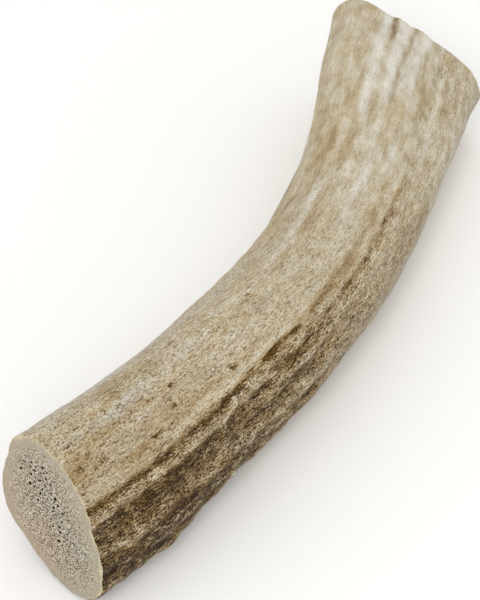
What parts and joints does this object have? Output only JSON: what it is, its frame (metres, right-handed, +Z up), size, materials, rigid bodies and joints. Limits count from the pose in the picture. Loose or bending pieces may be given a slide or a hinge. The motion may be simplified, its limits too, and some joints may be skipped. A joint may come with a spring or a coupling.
{
  "type": "deer antler dog chew",
  "caption": "Gently bent length of deer antler beam with an oval, twisting section, gutters and pearled bark, sawn flat at both ends, for a dog to gnaw.",
  "frame": {"origin": "on the surface that the piece lies on, under the middle of its box", "axes": "+X along the piece from the thick sawn end to the flared sawn end, +Y towards the inside of the bend, +Z up as it lies"},
  "size_m": [0.1724, 0.0506, 0.0388],
  "materials": {
    "antler": null
  },
  "bodies": {
    "root": {"antler": "antler"}
  },
  "joints": []
}
